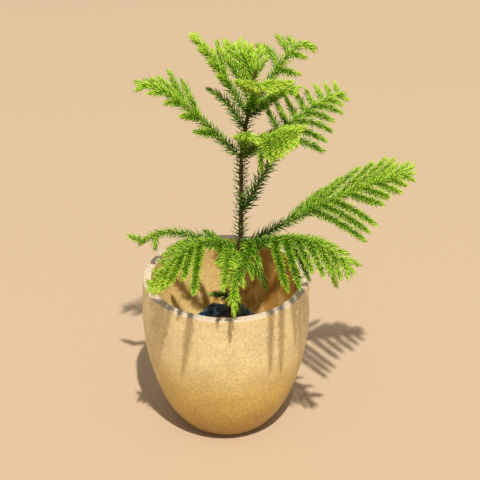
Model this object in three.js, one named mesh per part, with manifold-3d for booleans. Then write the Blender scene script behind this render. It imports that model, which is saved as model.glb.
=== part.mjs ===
// A young araucaria grown as a bonsai: one stem with three whorls of drooping and rising fronds,
// standing in its grow bag inside a rounded stone-glazed pot.
// Millimetres, +Z up. The origin is the middle of the pot's base, on the surface it stands on,
// and -Y is the front.
import * as THREE from 'three';
import { mergeVertices } from 'three/addons/utils/BufferGeometryUtils.js';
import Module from 'manifold-3d';

const wasm = await Module();
wasm.setup();

// Pot
const potHeight = 200;
const potWall = 10;
const potFloor = 12;
const rimBevel = 1.4;
const potSides = 32;
const potOutline = [[52, 0], [64, 11], [82.5, 45], [97, 98], [102, 150], [100, potHeight]];

// Grow bag and soil inside the pot
const fitGap = 0.35;
const bagRadius = 44;
const bagRim = 130;
const bagFilm = 1.4;
const bagSides = 24;
const soilLevel = 118;
const soilShrink = 0.9;
const holeClearance = 1;

// Stem
const stemPath = [
  [3, 0, 60], [4, 0, 124], [7, 0, 180], [16, 0, 232], [18.5, 0, 290],
  [19, 0, 362], [26, 0, 415], [31.5, 0, 452], [36, 0, 475],
];
const stemRadius = { foot: 3.5, tip: 1.7 };
const bareHeight = 243;

// Needles and the shoots that carry them
const needle = { length: 10, radius: 0.9, angle: 48, endLength: 6, foot: 3.2, every: 1 };
const longNeedle = { length: 12, radius: 0.9, angle: 70, endLength: 7, foot: 3.2, every: 1 };
const stemNeedle = { length: 9.5, radius: 0.9, angle: 76, endLength: 7, foot: 3.0, every: 2 };
const sprigRadius = { root: 1.6, tip: 1.15 };
const whorlSpacing = 16.4;
const whorlTurn = THREE.MathUtils.degToRad(15);
const bareSpacing = 25;
const needleGap = 0.35;
const sprigGap = 5.2;

// Each frond leaves the stem at a height, towards an azimuth (0 is +X, -90 the front), and ends
// "reach" away and "rise" above. "lift" raises its two middle control points and "sway" moves
// them sideways. A row is one side's sprigs, looking from the stem to the tip:
// [side, count, from, to, first length, last length, angle, tilt, droop, curl], where the last
// two bend their tips down and along the frond.
const right = 1;
const left = -1;
const fronds = {
  low_far_right: { at: 241, azimuth: -3, reach: 198, rise: 104, lift: [8, 17], rows: [
    [right, 3, 0.41, 0.53, 92, 80, 51, -1, 0.25, 0.06],
    [right, 5, 0.63, 0.95, 64, 16, 54, -5, -0.04, 0],
    [left, 3, 0.28, 0.43, 53, 70, 37, 9, 0, 0.26],
    [left, 6, 0.53, 0.92, 64, 20, 27, 2, -0.30, 0.26]] },
  low_right: { at: 231, azimuth: -49, reach: 189, rise: 64, lift: [39, 40], rows: [
    [right, 2, 0.33, 0.43, 117, 108, 39, 4, 0.44, 0.23],
    [right, 5, 0.52, 0.93, 58, 14, 32, 2, 0.50, 0.28],
    [left, 2, 0.30, 0.54, 58, 71, 34, 0, 1.57, 0.27],
    [left, 5, 0.35, 0.88, 36, 22, 55, -7, 0.20, -0.10]] },
  low_front: { at: 245, azimuth: -93, reach: 126, rise: -16, lift: [30, 34], sway: [34, -9], rows: [
    [right, 4, 0.34, 0.86, 20, 9, 46, -4, 0.60, 0.25],
    [left, 4, 0.30, 0.82, 24, 10, 46, -4, 0.60, 0.25]] },
  low_front_left: { at: 222, azimuth: -97, reach: 134, rise: 45, lift: [32, 24], sway: [-12, 3], rows: [
    [right, 2, 0.30, 0.46, 18, 14, 45, -10, 0.40, 0.25],
    [left, 2, 0.34, 0.50, 16, 12, 45, -10, 0.40, 0.25]] },
  low_left: { at: 232, azimuth: -133, reach: 149, rise: 18, lift: [47, 37], rows: [
    [right, 2, 0.12, 0.21, 20, 30, 55, 0, 0.25, 0],
    [right, 7, 0.29, 0.94, 53, 8, 61, -6, 0.25, -0.39],
    [left, 2, 0.12, 0.22, 20, 26, 45, 0, 0.30, 0.10],
    [left, 1, 0.43, 0.43, 122, 122, 40, 6, 0.11, 0],
    [left, 2, 0.61, 0.74, 68, 45, 32, 6, -0.05, 0.08],
    [left, 3, 0.80, 0.92, 28, 12, 33, -1, 0.20, 0.30],
    [left, 1, 0.52, 0.52, 66, 66, 36, 6, 0.10, 0]] },
  low_back_left: { at: 241, azimuth: 169, reach: 121, rise: -8, lift: [0, 37], rows: [
    [right, 1, 0.20, 0.20, 26, 26, 48, 18, 0.20, 0.20],
    [right, 1, 0.96, 0.96, 17, 17, 25, 60, -0.60, 0.30],
    [left, 1, 0.82, 0.82, 15, 15, 60, -40, 0.80, 0]] },
  solo: { at: 288, azimuth: -38, reach: 51, rise: 92, lift: [-3, 8], form: longNeedle, rows: [] },
  mid_left: { at: 360, azimuth: -176, reach: 113, rise: 96, lift: [8, 27], rows: [
    [right, 2, 0.41, 0.53, 48, 50, 46, 12, 0, -0.05],
    [right, 4, 0.62, 0.95, 34, 9, 46, 14, 0.22, 0.11],
    [left, 5, 0.25, 0.94, 36, 12, 46, -3, 0.20, 0.25]] },
  mid_back_left: { at: 396, azimuth: 150, reach: 47, rise: 40, lift: [12, 9], rows: [] },
  mid_front: { at: 370, azimuth: -80, reach: 45, rise: 38, lift: [6, 12], rows: [
    [right, 3, 0.48, 0.85, 15, 7, 63, 1, 0.01, 0.32],
    [left, 4, 0.34, 0.91, 27, 8, 64, -8, 0.43, 0.24]] },
  mid_front_right: { at: 358, azimuth: -42, reach: 85, rise: 65, lift: [14, 8], rows: [
    [right, 2, 0.38, 0.48, 30, 44, 56, 4, 0.45, 0.25],
    [right, 6, 0.54, 0.94, 56, 26, 54, 4, 0.50, 0.25],
    [left, 6, 0.29, 0.96, 19, 6, 49, 19, -0.07, 0.24]] },
  mid_right: { at: 366, azimuth: 32, reach: 139, rise: 42, lift: [-11, 14], rows: [
    [right, 7, 0.27, 0.93, 64, 12, 49, 13, 0.27, -0.21],
    [left, 8, 0.36, 0.97, 33, 12, 73, 21, -0.28, -0.14]] },
  top_left: { at: 415, azimuth: 172, reach: 62, rise: 92, lift: [4, 8], rows: [
    [right, 1, 0.41, 0.41, 38, 38, 37, 23, -0.01, 0.19],
    [right, 3, 0.56, 0.88, 18, 8, 36, 22, 0, 0.20],
    [left, 4, 0.34, 0.90, 18, 8, 34, 10, 0.15, 0.25]] },
  top_back_left: { at: 430, azimuth: 116, reach: 36, rise: 53, lift: [2, 6], rows: [
    [right, 4, 0.36, 0.94, 28, 14, 44, 0, 0.05, 0.25],
    [left, 4, 0.36, 0.94, 34, 14, 44, 0, 0, 0.25]] },
  top_right: { at: 420, azimuth: 20, reach: 78, rise: 68, lift: [6, 44], rows: [
    [right, 3, 0.43, 0.81, 29, 14, 68, -1, 0.35, 0.27],
    [left, 1, 0.43, 0.43, 58, 58, 51, 22, 0.41, -0.26],
    [left, 2, 0.60, 0.69, 30, 18, 64, 17, 0.13, -0.18]] },
  top_front_right: { at: 412, azimuth: -26, reach: 57, rise: 44, lift: [4, 14], rows: [
    [right, 4, 0.32, 0.92, 22, 10, 55, 0, 0.05, 0.25],
    [left, 4, 0.30, 0.90, 22, 9, 55, 10, 0, 0.25]] },
  top_front: { at: 417, azimuth: -74, reach: 51, rise: 55, lift: [4, 16], rows: [
    [right, 5, 0.60, 0.96, 37, 9, 55, 9, 0.12, 0.35],
    [left, 5, 0.66, 0.98, 41, 10, 49, 1, 0.28, 0.38]] },
  top_back: { at: 440, azimuth: 84, reach: 30, rise: 38, lift: [2, 8], rows: [
    [right, 3, 0.40, 0.92, 24, 10, 44, 0, 0, 0.25],
    [left, 3, 0.44, 0.92, 26, 10, 44, 0, 0, 0.25]] },
  inner_right: { at: 215, azimuth: -44, reach: 48, rise: -9, lift: [14, 24], rows: [] },
  twig_left: { at: 172, azimuth: -170, reach: 22, rise: 4, lift: [0, 0], rows: [] },
  twig_right: { at: 166, azimuth: -55, reach: 16, rise: -5, lift: [6, 10], rows: [] },
};
const frondTip = 1.1;
const frondRoot = (height) => THREE.MathUtils.mapLinear(height, 230, 430, 2.3, 1.7);

// Colours, roughness
const colours = {
  pot: ['#c8ab7c', 0.55], growBag: ['#1b2638', 0.4], soil: ['#3a2a1d', 0.95],
  stem: ['#5a4327', 0.8], oldShoot: ['#2f5a1c', 0.6], youngShoot: ['#7fae2c', 0.55],
};

const up = new THREE.Vector3(0, 0, 1);
const degrees = THREE.MathUtils.degToRad;
const mix = THREE.MathUtils.lerp;
const vector = (point) => new THREE.Vector3(...point);

// Merged, closed and facing outwards: six times the signed volume of an inverted mesh is negative.
function closed(geometry) {
  const bare = geometry.clone();
  bare.deleteAttribute('normal');
  bare.deleteAttribute('uv');
  const merged = mergeVertices(bare, 1e-4);
  const position = merged.attributes.position;
  const corners = [0, 1, 2].map(() => new THREE.Vector3());
  const faces = [];
  let volume = 0;
  for (let i = 0; i < merged.index.count; i += 3) {
    const face = [0, 1, 2].map((k) => merged.index.getX(i + k));
    if (new Set(face).size < 3) continue;
    face.forEach((vertex, k) => corners[k].fromBufferAttribute(position, vertex));
    volume += corners[0].dot(corners[1].clone().cross(corners[2]));
    faces.push(face);
  }
  if (volume < 0) faces.forEach((face) => face.reverse());
  merged.setIndex(faces.flat());
  return merged;
}

function solidOf(geometry) {
  const shape = closed(geometry);
  return new wasm.Manifold(new wasm.Mesh({
    numProp: 3,
    vertProperties: new Float32Array(shape.attributes.position.array),
    triVerts: new Uint32Array(shape.index.array),
  }));
}

function geometryOf(solid) {
  const mesh = solid.getMesh();
  const geometry = new THREE.BufferGeometry();
  geometry.setAttribute('position', new THREE.BufferAttribute(mesh.vertProperties, 3));
  geometry.setIndex(new THREE.BufferAttribute(mesh.triVerts, 1));
  geometry.computeVertexNormals();
  return geometry;
}

function largestPiece(solid) {
  return solid.decompose().sort((a, b) => b.volume() - a.volume())[0];
}

function revolve(outline, sides) {
  const points = outline.map(([radius, height]) => new THREE.Vector2(radius, height));
  return new THREE.LatheGeometry(points, sides).rotateX(Math.PI / 2);
}

// A tapering shoot: a cylinder whose rings are set square on a curve, at the given shares of
// its length, each turned by its own angle.
const frameSteps = 60;
function shoot(curve, rootRadius, tipRadius, sides, places, turns = []) {
  const steps = places.length - 1;
  const geometry = new THREE.CylinderGeometry(1, 1, 1, sides, steps);
  const frames = curve.computeFrenetFrames(frameSteps);
  const position = geometry.attributes.position;
  for (let i = 0; i < position.count; i++) {
    const step = Math.round((position.getY(i) + 0.5) * steps);
    const frame = Math.round(places[step] * frameSteps);
    const radius = Math.hypot(position.getX(i), position.getZ(i)) * mix(rootRadius, tipRadius, places[step]);
    const angle = Math.atan2(position.getX(i), position.getZ(i)) - (turns[step] ?? 0);
    const place = curve.getPointAt(places[step])
      .addScaledVector(frames.normals[frame], radius * Math.sin(angle))
      .addScaledVector(frames.binormals[frame], radius * Math.cos(angle));
    position.setXYZ(i, place.x, place.y, place.z);
  }
  return geometry;
}

function evenPlaces(steps) {
  return Array.from({ length: steps + 1 }, (_, i) => i / steps);
}

// Shortest distance between two straight pieces, by the usual clamped closest points.
function segmentDistance(a, b, c, d) {
  const ab = b.clone().sub(a);
  const cd = d.clone().sub(c);
  const ac = a.clone().sub(c);
  const abab = ab.dot(ab);
  const cdcd = cd.dot(cd);
  const abcd = ab.dot(cd);
  const abac = ab.dot(ac);
  const cdac = cd.dot(ac);
  const denominator = abab * cdcd - abcd * abcd;
  const clamp = (x) => Math.min(Math.max(x, 0), 1);
  let s = denominator > 1e-9 ? clamp((abcd * cdac - abac * cdcd) / denominator) : 0;
  const t = clamp((abcd * s + cdac) / cdcd);
  s = clamp((abcd * t - abac) / abab);
  return ac.addScaledVector(ab, s).addScaledVector(cd, -t).length();
}

// The same small random number for the same k, between 0 and 1
function scatter(k) {
  const value = Math.sin(k * 12.9898 + 78.233) * 43758.5453;
  return value - Math.floor(value);
}

// The pot: one thick shell with a flat foot and a flat rim, both edges eased.
const potCurve = new THREE.SplineCurve(
  potOutline.map(([radius, height]) => new THREE.Vector2(radius, height)),
);
function potGeometry() {
  const steps = 9;
  const outside = potCurve.getPoints(steps).map(({ x, y }) => [x, y]);
  outside.pop();
  const rim = potOutline.at(-1)[0];
  const edge = [[rim, potHeight - rimBevel], [rim - rimBevel, potHeight],
    [rim - potWall + rimBevel, potHeight], [rim - potWall, potHeight - rimBevel]];
  const inside = outside.filter(([, height]) => height > 3 * potFloor)
    .map(([radius, height]) => [radius - potWall, height]).reverse();
  const innerFoot = inside.at(-1)[0];
  return revolve([[0, 0], ...outside, ...edge, ...inside,
    [innerFoot - 6, 2 * potFloor], [innerFoot - 19, potFloor], [0, potFloor]], potSides);
}

function clearOfPot(point, room) {
  const radius = Math.hypot(point.x, point.y);
  const rim = potOutline.at(-1)[0];
  return point.z > potHeight + room || radius < rim - potWall - room || radius > rim + 2 + room;
}

// The bag's film bulges and creases more towards its open top, which stands highest at the back.
function crumple(geometry) {
  const position = geometry.attributes.position;
  for (let i = 0; i < position.count; i++) {
    const [x, y, z] = [position.getX(i), position.getY(i), position.getZ(i)];
    const angle = Math.atan2(y, x);
    const share = THREE.MathUtils.clamp((z - potFloor) / (bagRim - potFloor), 0, 1);
    const creases = 0.035 * Math.sin(5 * angle + 0.6) + 0.025 * Math.sin(9 * angle + 2.1 * share);
    const back = Math.max(0, Math.sin(angle)) ** 3;
    const rise = share ** 8 * (4 * back + 2.5 * Math.sin(7 * angle));
    const spread = 1 + creases * share;
    position.setXYZ(i, x * spread, y * spread, z + rise);
  }
  return geometry;
}

const bagFoot = potFloor + fitGap;
const bagSteps = [0.05, 0.35, 0.65, 0.88, 1];
const bagWidth = (share) => mix(bagRadius - 5, bagRadius, Math.sqrt(share));
function bagGeometry() {
  const outside = bagSteps.map((share) => [bagWidth(share), mix(bagFoot, bagRim, share)]);
  const inside = outside.map(([radius, height]) => [radius - bagFilm, height]).reverse();
  const corner = bagRadius - 8;
  return crumple(revolve([[0, bagFoot], [corner, bagFoot], ...outside, ...inside,
    [corner - bagFilm, bagFoot + bagFilm], [0, bagFoot + bagFilm]], bagSides));
}

// The soil fills the bag. Its plain hole is drawn aside, off the pot's middle, to where the
// stem stands.
function soilGeometry() {
  const foot = bagFoot + bagFilm + fitGap;
  const inset = bagFilm + soilShrink;
  const share = (soilLevel - bagFoot) / (bagRim - bagFoot);
  const wall = bagSteps.filter((step) => step < share)
    .map((step) => [bagWidth(step) - inset, mix(bagFoot, bagRim, step)]);
  wall[0][1] = foot + 4;
  const top = bagWidth(share) - inset;
  const hole = stemRadius.foot + holeClearance;
  const [stemX, , stemFoot] = stemPath[0];
  const block = crumple(revolve([[0, foot], [bagRadius - 8 - inset, foot], ...wall,
    [top, soilLevel - 3], [0.75 * top, soilLevel + 2], [0.4 * top, soilLevel + 4],
    [hole, soilLevel + 5], [hole, stemFoot - fitGap], [0, stemFoot - fitGap]], bagSides));
  const position = block.attributes.position;
  for (let i = 0; i < position.count; i++) {
    const radius = Math.hypot(position.getX(i), position.getY(i));
    const inwards = THREE.MathUtils.clamp((top - radius) / (top - hole), 0, 1);
    if (position.getZ(i) > foot + 1) position.setX(i, position.getX(i) + (stemX + 0.5) * inwards);
  }
  return block;
}

// The stem's centre line, and the point on it at a height
const stemCurve = new THREE.CatmullRomCurve3(stemPath.map(vector), false, 'catmullrom', 0.5);
function onStem(height) {
  let [low, high] = [0, 1];
  for (let i = 0; i < 40; i++) {
    const middle = (low + high) / 2;
    if (stemCurve.getPoint(middle).z < height) low = middle;
    else high = middle;
  }
  return stemCurve.getPoint(low);
}

function spineOf({ at, azimuth, reach, rise, lift, sway = [0, 0] }) {
  const root = onStem(at);
  const out = new THREE.Vector3(Math.cos(degrees(azimuth)), Math.sin(degrees(azimuth)), 0);
  const side = new THREE.Vector3(-out.y, out.x, 0);
  const handle = (share, k) => root.clone().addScaledVector(out, reach * share)
    .addScaledVector(side, sway[k]).addScaledVector(up, rise * share + lift[k]);
  const tip = root.clone().addScaledVector(out, reach).addScaledVector(up, rise);
  return new THREE.CubicBezierCurve3(root, handle(0.33, 0), handle(0.7, 1), tip);
}

function sprigCurve(spine, row, k, chance, bend, short) {
  const [side, count, from, to, first, last, angle, tilt, droop, curl] = row;
  const share = k / Math.max(count - 1, 1);
  const u = mix(from, to, share);
  const root = spine.getPoint(u);
  const along = spine.getTangent(u);
  const across = along.clone().cross(up).normalize();
  const above = across.clone().cross(along);
  const length = mix(first, last, share) * (0.9 + 0.2 * chance) * short;
  const out = across.multiplyScalar(side * Math.cos(degrees(tilt)))
    .addScaledVector(above, Math.sin(degrees(tilt))).multiplyScalar(Math.sin(degrees(angle)))
    .addScaledVector(along, Math.cos(degrees(angle)));
  const towards = out.clone().addScaledVector(along, curl).addScaledVector(up, -droop - bend).normalize();
  return new THREE.QuadraticBezierCurve3(
    root,
    root.clone().addScaledVector(out, 0.45 * length),
    root.clone().addScaledVector(towards, length),
  );
}

// A sprig that would touch another frond or the pot is bent up or down, and then shortened,
// until it is clear.
const bends = [0, -0.3, 0.3, -0.6, 0.6, -0.9, 0.9, -1.3, 1.3];
const shortenings = [1, 0.8, 0.6, 0.4];
function clearSprig(name, spine, row, k, chance, occupied) {
  for (const short of shortenings) {
    for (const bend of bends) {
      const curve = sprigCurve(spine, row, k, chance, bend, short);
      const points = curve.getPoints(12).slice(2);
      const free = points.every((point) => clearOfPot(point, 3)
        && occupied.every((other) => other.name === name || other.point.distanceTo(point) > sprigGap));
      if (free) return curve;
    }
  }
  return null;
}

// All shoots of all fronds, laid out before any needle
const shoots = [];
function layOutShoots() {
  const occupied = [];
  const names = Object.keys(fronds);
  const spines = names.map((name) => spineOf(fronds[name]));
  names.forEach((name, i) => {
    const points = spines[i].getPoints(48).slice(6);
    points.forEach((point) => occupied.push({ name, point }));
    shoots.push({ name, curve: spines[i], root: frondRoot(fronds[name].at), tip: frondTip, sides: 3,
      form: fronds[name].form ?? needle, from: 0.05, spine: true });
  });
  names.forEach((name, i) => {
    let number = 0;
    for (const row of fronds[name].rows) {
      for (let k = 0; k < row[1]; k++) {
        const chance = scatter((i + 1) * 50 + number++);
        const curve = clearSprig(name, spines[i], row, k, chance, occupied);
        if (!curve) continue;
        curve.getPoints(12).forEach((point) => occupied.push({ name, point }));
        shoots.push({ name, curve, ...sprigRadius, sides: 3, form: needle, spine: false });
      }
    }
  });
}

// Straight pieces of everything that is placed, for keeping needles clear of other nodes
const placed = [];
function occupy(name, a, b, radius) {
  placed.push({ name, a, b, radius });
}
function isClear(name, a, b, radius) {
  return clearOfPot(b, 1.5) && placed.every((other) => other.name === name
    || segmentDistance(a, b, other.a, other.b) > radius + other.radius + needleGap);
}

// Needles stand in whorls. Each whorl is a pair of rings close together, the upper one turned
// by half a side, and its needles are raised from every second face between the two. The last
// whorl is at the tip, where the middle of the end cap is drawn out as the last needle.
function needled(name, { curve, root, tip, sides, form, from = 0 }) {
  const length = curve.getLength();
  const whorls = Math.max(1, Math.round(length * (1 - from) / whorlSpacing));
  const places = evenPlaces(Math.ceil(from * length / bareSpacing)).map((place) => place * from || 0);
  const turns = places.map(() => 0);
  for (let i = 1; i <= whorls; i++) {
    const place = from + (1 - from) * i / whorls;
    const turn = turns.at(-1) + whorlTurn;
    places.push(place - form.foot / length, place);
    turns.push(turn, turn + Math.PI / sides);
  }
  const steps = places.length - 1;
  const shape = closed(shoot(curve, root, tip, sides, places, turns));
  const points = [];
  for (let i = 0; i < shape.attributes.position.count; i++) {
    points.push(new THREE.Vector3().fromBufferAttribute(shape.attributes.position, i));
  }
  const end = curve.getPointAt(1);
  points.filter((point) => point.distanceTo(end) < 1e-3)
    .forEach((point) => point.addScaledVector(curve.getTangentAt(1), form.endLength));
  const faces = [];
  for (let i = 0; i < shape.index.count / 3; i++) {
    const face = [0, 1, 2].map((k) => shape.index.getX(3 * i + k));
    faces.push(face);
    const step = steps - 1 - (Math.floor(i / 2) % steps);
    const side = Math.floor(i / (2 * steps));
    const inWhorl = step > 0 && turns[step + 1] - turns[step] > whorlTurn * 1.5;
    if (i >= 2 * sides * steps || !inWhorl || i % 2 || (side + step) % form.every) continue;
    const u = (places[step] + places[step + 1]) / 2;
    const middle = new THREE.Vector3();
    face.forEach((vertex) => middle.addScaledVector(points[vertex], 1 / 3));
    const along = curve.getTangentAt(u);
    const out = middle.clone().sub(curve.getPointAt(u));
    out.addScaledVector(along, -out.dot(along)).normalize();
    const apex = middle.clone().addScaledVector(along, form.length * Math.cos(degrees(form.angle)))
      .addScaledVector(out, form.length * Math.sin(degrees(form.angle)));
    if (!isClear(name, middle, apex, form.radius)) continue;
    occupy(name, middle, apex, form.radius);
    faces.pop();
    const number = points.push(apex) - 1;
    face.forEach((vertex, k) => faces.push([vertex, face[(k + 1) % 3], number]));
  }
  const geometry = new THREE.BufferGeometry().setFromPoints(points);
  geometry.setIndex(faces.flat());
  return geometry;
}

const plant = new THREE.Group();
function addNode(name, geometry, [colour, roughness]) {
  const material = new THREE.MeshStandardMaterial({ color: colour, roughness, metalness: 0 });
  const mesh = new THREE.Mesh(geometry, material);
  mesh.name = name;
  plant.add(mesh);
}

layOutShoots();
const stem = { name: 'stem', curve: stemCurve, root: stemRadius.foot, tip: stemRadius.tip, sides: 7,
  form: stemNeedle, from: (bareHeight - stemPath[0][2]) / (stemPath.at(-1)[2] - stemPath[0][2]) };
for (const [i, { curve, root, spine }] of [stem, ...shoots].entries()) {
  const points = curve.getSpacedPoints(spine === false ? 6 : 40);
  points.slice(1).forEach((point, k) => occupy(i, points[k], point, root));
}

const bud = new THREE.SphereGeometry(2.6, 6, 5).rotateX(Math.PI / 2).scale(1, 1, 1.5)
  .translate(...stemCurve.getPoint(1).toArray());
const stemSolid = solidOf(needled(0, stem)).add(solidOf(bud));
const stemClearance = solidOf(shoot(stemCurve, stem.root + fitGap, stem.tip + fitGap, 14, evenPlaces(40)));

addNode('pot', closed(potGeometry()), colours.pot);
addNode('grow_bag', closed(bagGeometry()), colours.growBag);
addNode('soil', closed(soilGeometry()), colours.soil);
addNode('stem', geometryOf(largestPiece(stemSolid)), colours.stem);

const parts = shoots.map((piece, i) => solidOf(needled(i + 1, piece)));
for (const name of Object.keys(fronds)) {
  const own = parts.filter((_, i) => shoots[i].name === name);
  const whole = wasm.Manifold.union(own).subtract(stemClearance);
  const young = fronds[name].at > 400 || name.startsWith('mid_front');
  addNode(name, geometryOf(largestPiece(whole)), young ? colours.youngShoot : colours.oldShoot);
}

export default plant;
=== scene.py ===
import math
import random

import bmesh
import bpy
import numpy as np
from mathutils import Matrix, Vector, noise


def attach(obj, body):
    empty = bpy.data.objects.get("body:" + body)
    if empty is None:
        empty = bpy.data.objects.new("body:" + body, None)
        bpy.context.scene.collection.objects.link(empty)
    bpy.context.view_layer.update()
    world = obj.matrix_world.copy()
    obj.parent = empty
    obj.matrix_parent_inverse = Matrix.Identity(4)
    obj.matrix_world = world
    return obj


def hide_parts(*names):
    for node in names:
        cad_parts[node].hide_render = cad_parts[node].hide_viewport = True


# A young araucaria in its grow bag inside a rounded stoneware pot. Metres, +Z up, front at -Y.
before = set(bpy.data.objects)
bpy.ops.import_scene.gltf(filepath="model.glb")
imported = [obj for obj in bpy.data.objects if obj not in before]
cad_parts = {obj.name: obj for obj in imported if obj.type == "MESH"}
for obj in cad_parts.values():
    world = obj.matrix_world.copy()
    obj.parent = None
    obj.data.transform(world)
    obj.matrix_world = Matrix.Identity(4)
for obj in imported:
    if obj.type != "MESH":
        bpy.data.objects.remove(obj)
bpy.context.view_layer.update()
print("frame loaded,", len(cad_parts), "nodes")

up = Vector((0, 0, 1))
mm = 0.001
touching = 1e-6        # places nearer than this are the same

cameraView = {
    "place": (0.01713, -1.55258, 1.16136),
    "downwards": 30.397,       # degrees below the horizon
    "lens": 113.24,
    "sensor": 36,
}


def placeCamera():
    data = bpy.data.cameras.new("camera")
    data.lens = cameraView["lens"]
    data.sensor_width = cameraView["sensor"]
    camera = bpy.data.objects.new("camera", data)
    camera.location = cameraView["place"]
    camera.rotation_euler = (math.radians(90 - cameraView["downwards"]), 0, 0)
    bpy.context.scene.collection.objects.link(camera)
    bpy.context.scene.camera = camera


placeCamera()
print("camera placed")


# Lines

def mix(a, b, share):
    return a + (b - a) * share


def smoothLine(points, u, lead):
    # a Catmull-Rom line through the points; lead 1 draws its ends on, 0 stops them
    points = [Vector(point) for point in points]
    place = u * (len(points) - 1)
    k = min(int(place), len(points) - 2)
    t = place - k
    a, b = points[k], points[k + 1]
    before = points[k - 1] if k else a + (a - b) * lead
    after = points[k + 2] if k + 2 < len(points) else b + (b - a) * lead
    leave, arrive = (b - before) / 2, (after - a) / 2
    cubic = 2 * (a - b) + leave + arrive
    square = 3 * (b - a) - 2 * leave - arrive
    return cubic * t ** 3 + square * t ** 2 + leave * t + a


def bezier(handles, u):
    while len(handles) > 1:
        handles = [a.lerp(b, u) for a, b in zip(handles, handles[1:])]
    return handles[0]


def bezierPlaces(handles, steps):
    return [bezier(handles, k / steps) for k in range(steps + 1)]


def heading(handles, u):
    return (bezier(handles[1:], u) - bezier(handles[:-1], u)).normalized()


def layLine(points):
    # places along a line with their headings, two square directions and the length so far
    headings = [(b - a).normalized() for a, b in zip(points, points[1:])]
    headings.append(headings[-1].copy())
    side = headings[0].orthogonal().normalized()
    sides = []
    for k, direction in enumerate(headings):
        if k:
            side.rotate(headings[k - 1].rotation_difference(direction))
        sides.append(side.copy())
    steps = [0] + [(b - a).length for a, b in zip(points, points[1:])]
    return {
        "places": np.array(points),
        "headings": np.array(headings),
        "sides": np.array(sides),
        "crosses": np.array([a.cross(b) for a, b in zip(headings, sides)]),
        "lengths": np.cumsum(steps),
    }


def bendAlong(mesh, line):
    # a mesh that stands along +Z is laid along the line
    flat = np.empty(len(mesh.vertices) * 3)
    mesh.vertices.foreach_get("co", flat)
    x, y, z = flat.reshape(-1, 3).T
    reach = np.clip(z, 0, line["lengths"][-1])

    def value(key):
        return np.column_stack([np.interp(reach, line["lengths"], line[key][:, i]) for i in range(3)])

    bent = value("places") + value("sides") * x[:, None] + value("crosses") * y[:, None]
    bent += value("headings") * (z - reach)[:, None]
    mesh.vertices.foreach_set("co", bent.ravel())
    mesh.update()


def roughAt(point, coarse, fine, share):
    # soft noise at two scales, of which share goes to the finer one
    return noise.noise(point * coarse) + share * noise.noise(point * fine)


# Pieces

def addPiece(name, mesh, materials):
    piece = bpy.data.objects.new(name, mesh)
    bpy.context.scene.collection.objects.link(piece)
    for material in materials:
        mesh.materials.append(material)
    for face in mesh.polygons:
        face.use_smooth = True
    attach(piece, "root")
    return piece


def finishMesh(bm, name):
    mesh = bpy.data.meshes.new(name)
    bm.to_mesh(mesh)
    bm.free()
    return mesh


def spinOutline(outline, steps):
    bm = bmesh.new()
    verts = [bm.verts.new((radius, 0, height)) for radius, height in outline]
    edges = [bm.edges.new(pair) for pair in zip(verts, verts[1:])]
    bmesh.ops.spin(bm, geom=verts + edges, cent=(0, 0, 0), axis=(0, 0, 1), angle=2 * math.pi,
                   steps=steps, use_merge=True)
    bmesh.ops.remove_doubles(bm, verts=bm.verts, dist=touching)
    bmesh.ops.recalc_face_normals(bm, faces=bm.faces)
    return bm


# Shader helpers

def newMaterial(name, roughness):
    material = bpy.data.materials.new(name)
    material.use_nodes = True
    tree = material.node_tree
    shader = tree.nodes["Principled BSDF"]
    shader.inputs["Roughness"].default_value = roughness
    return material, tree, shader


def feed(tree, socket, value):
    # the value is another node's output, or a plain one
    if isinstance(value, bpy.types.NodeSocket):
        tree.links.new(value, socket)
    else:
        socket.default_value = value


def addNode(tree, kind, **values):
    # each value goes to the input of that name, or else to the node's setting
    node = tree.nodes.new(kind)
    for key, value in values.items():
        if key in node.inputs:
            feed(tree, node.inputs[key], value)
        else:
            setattr(node, key, value)
    return node


def objectPlace(tree):
    return tree.nodes.new("ShaderNodeTexCoord").outputs["Object"]


def stretchPlace(tree, place, scale):
    return addNode(tree, "ShaderNodeMapping", Vector=place, Scale=scale).outputs["Vector"]


def addNoise(tree, place, scale, detail, roughness=0.5):
    node = addNode(tree, "ShaderNodeTexNoise", Vector=place, Scale=scale, Detail=detail,
                   Roughness=roughness)
    return node.outputs["Fac"]


def addMath(tree, operation, *terms):
    node = addNode(tree, "ShaderNodeMath", operation=operation)
    for socket, term in zip(node.inputs, terms):
        feed(tree, socket, term)
    return node.outputs["Value"]


def addRange(tree, value, low, high, toLow=0, toHigh=1):
    # low becomes toLow and high toHigh, and nothing goes past them
    node = addNode(tree, "ShaderNodeMapRange", Value=value)
    for label, bound in [("From Min", low), ("From Max", high), ("To Min", toLow), ("To Max", toHigh)]:
        feed(tree, node.inputs[label], bound)
    return node.outputs["Result"]


def addRamp(tree, factor, stops):
    ramp = addNode(tree, "ShaderNodeValToRGB", Fac=factor)
    elements = ramp.color_ramp.elements
    for k, (position, colour) in enumerate(stops):
        element = elements[k] if k < 2 else elements.new(position)
        element.position = position
        element.color = (*colour, 1)
    return ramp.outputs["Color"]


def newGroup(name, inputs, outputs):
    group = bpy.data.node_groups.new(name, "ShaderNodeTree")
    for label, kind, value in inputs:
        socket = group.interface.new_socket(label, in_out="INPUT", socket_type="NodeSocket" + kind)
        if value is not None:
            socket.default_value = value
    for label, kind in outputs:
        group.interface.new_socket(label, in_out="OUTPUT", socket_type="NodeSocket" + kind)
    start = group.nodes.new("NodeGroupInput")
    end = group.nodes.new("NodeGroupOutput")
    return group, start, end


def placeGroup(tree, group, **values):
    node = tree.nodes.new("ShaderNodeGroup")
    node.node_tree = group
    for key, value in values.items():
        feed(tree, node.inputs[key], value)
    return node


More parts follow.
